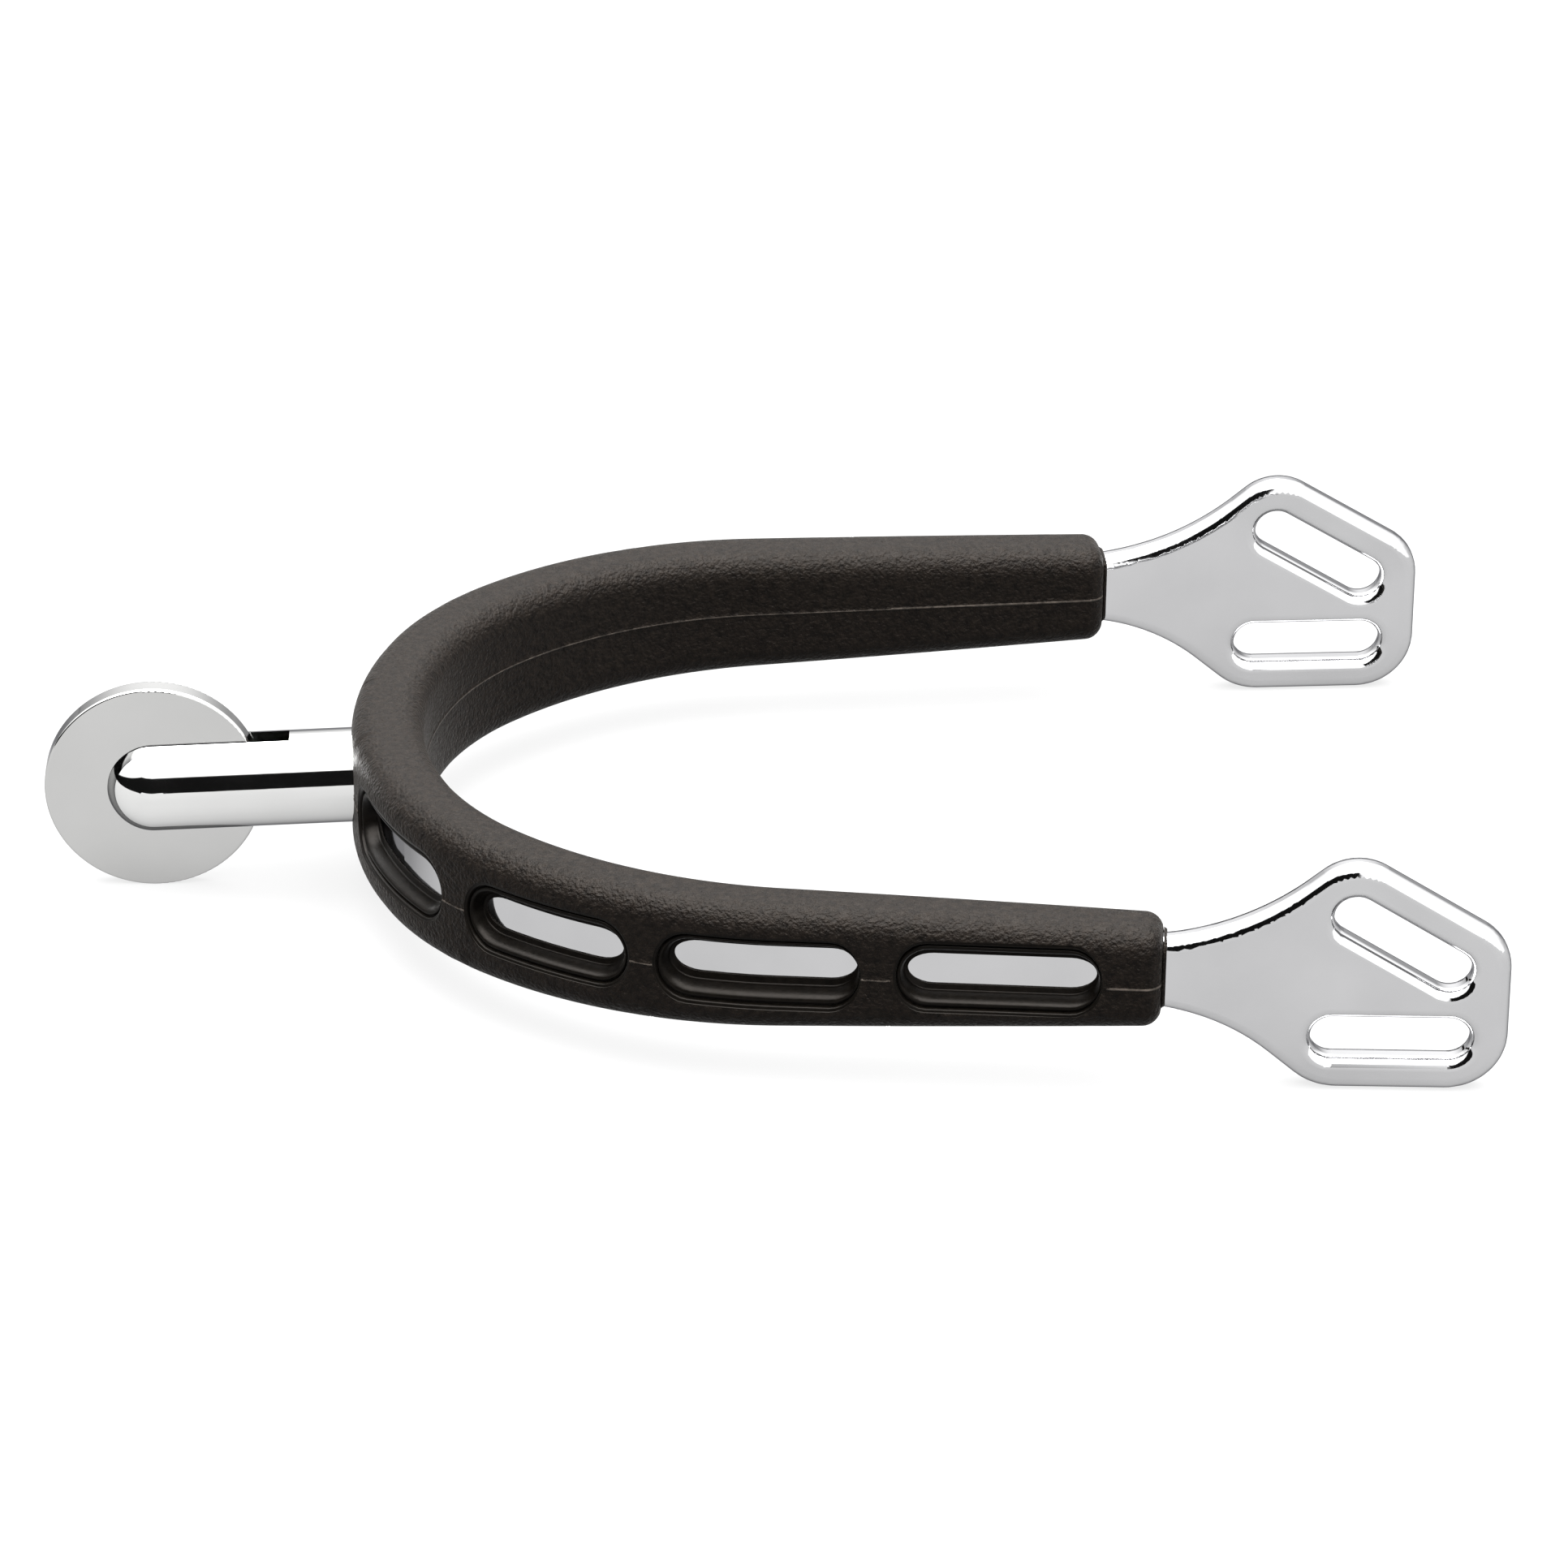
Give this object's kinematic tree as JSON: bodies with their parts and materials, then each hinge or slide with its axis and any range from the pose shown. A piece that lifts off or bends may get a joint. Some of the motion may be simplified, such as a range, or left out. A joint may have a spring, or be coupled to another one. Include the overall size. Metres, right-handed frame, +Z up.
{
  "type": "riding spur",
  "caption": "Riding spur: steel U-shaped heel band with slotted strap plates, short round neck, freely turning smooth disc rowel and a windowed black rubber grip cover.",
  "frame": {"origin": "under the middle of the spur's box, on the surface it rests on", "axes": "+X from the rowel to the strap plates along the spur's length, +Y to the far arm, +Z up from the surface to the crests of the plates"},
  "size_m": [0.1346, 0.0884, 0.0228],
  "materials": {
    "polished_steel": "mirror-polished stainless steel",
    "rowel_steel": "polished stainless steel, faces finely lapped",
    "black_rubber": "satin moulded rubber with a fine grain"
  },
  "bodies": {
    "frame": {"heel_band": "polished_steel", "neck": "polished_steel", "rowel_pin": "polished_steel", "grip_cover": "black_rubber"},
    "rowel": {"rowel": "rowel_steel"}
  },
  "joints": [
    {"name": "rowel_spin", "type": "hinge", "parent": "frame", "child": "rowel", "pos_m": [-0.057, 0, 0.0103], "axis": [0, 1, 0], "continuous": true}
  ]
}
